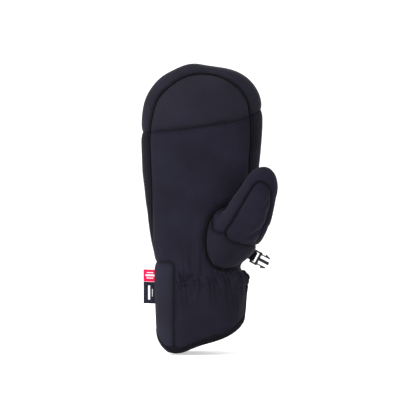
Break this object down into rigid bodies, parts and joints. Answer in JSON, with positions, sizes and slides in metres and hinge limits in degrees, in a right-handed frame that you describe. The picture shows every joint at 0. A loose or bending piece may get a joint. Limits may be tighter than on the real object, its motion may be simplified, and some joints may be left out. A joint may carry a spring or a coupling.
{
  "type": "ski mitten",
  "caption": "Insulated ski mitten with a bendable thumb, bound slanted cuff, shirred wrist, folded side labels and a small clip on a webbing tab.",
  "frame": {"origin": "middle of the hand opening, level with the lowest point of the hem", "axes": "+Z from the hem to the fingertips, -Y out of the palm, +X towards the thumb"},
  "size_m": [0.144, 0.1049, 0.3011],
  "materials": {
    "shell_fabric": "fine matt twill, dark grey-blue",
    "smooth_fabric": "smooth coated weave, slightly lighter",
    "side_fabric": "matt weave",
    "cuff_fabric": "matt weave",
    "piping": "corded seam, matt",
    "binding": "woven tape, matt",
    "elastic": "ribbed elastic",
    "membrane": "thin film laminate",
    "insulation": "lofted fibre wadding",
    "lining": "brushed fleece",
    "label_red": "woven label",
    "label_dark": "woven label",
    "webbing": "woven webbing",
    "buckle": "moulded acetal, satin"
  },
  "bodies": {
    "hand": {"palm_panel": "shell_fabric", "fingertip_patch": "smooth_fabric", "finger_cap": "smooth_fabric", "pinky_sidewall": "side_fabric", "index_sidewall": "side_fabric", "back_panel": "shell_fabric", "palm_piping": "piping", "thumb_gusset": "shell_fabric", "cuff_palm_panel": "cuff_fabric", "cuff_side_panel": "side_fabric", "cuff_back_panel": "cuff_fabric", "cuff_slit_gusset": "elastic", "hem_binding": "binding", "wrist_elastic": "elastic", "waterproof_insert": "membrane", "insulation_palm": "insulation", "insulation_back": "insulation", "lining_palm": "lining", "lining_back": "lining", "label_red": "label_red", "label_dark": "label_dark", "clip_webbing": "webbing"},
    "thumb": {"thumb_pad_panel": "shell_fabric", "thumb_back_panel": "side_fabric", "insert_thumb": "membrane", "insulation_thumb": "insulation", "lining_thumb": "lining"},
    "clip": {"clip_frame": "buckle"},
    "upper_latch": {"latch_arm_upper": "buckle"},
    "lower_latch": {"latch_arm_lower": "buckle"}
  },
  "joints": [
    {"name": "thumb_flex", "type": "hinge", "parent": "hand", "child": "thumb", "pos_m": [0.04757, -0.03779, 0.14291], "axis": [0.9078, 0, -0.4194], "range_deg": [-6, 30], "stiffness_Nm_per_rad": 0.6},
    {"name": "clip_swing", "type": "hinge", "parent": "hand", "child": "clip", "pos_m": [0.055, 0.008, 0.1005], "axis": [0.4618, 0, 0.887], "range_deg": [-35, 35]},
    {"name": "latch_upper", "type": "hinge", "parent": "clip", "child": "upper_latch", "pos_m": [0.06397, 0.008, 0.10192], "axis": [0, 1, 0], "range_deg": [0, 8], "stiffness_Nm_per_rad": 0.02},
    {"name": "latch_lower", "type": "hinge", "parent": "clip", "child": "lower_latch", "pos_m": [0.05898, 0.008, 0.09234], "axis": [0, 1, 0], "range_deg": [-8, 0], "stiffness_Nm_per_rad": 0.02}
  ],
  "couplings": [
    {"joint": "latch_lower", "follows": "latch_upper", "ratio": -1}
  ]
}
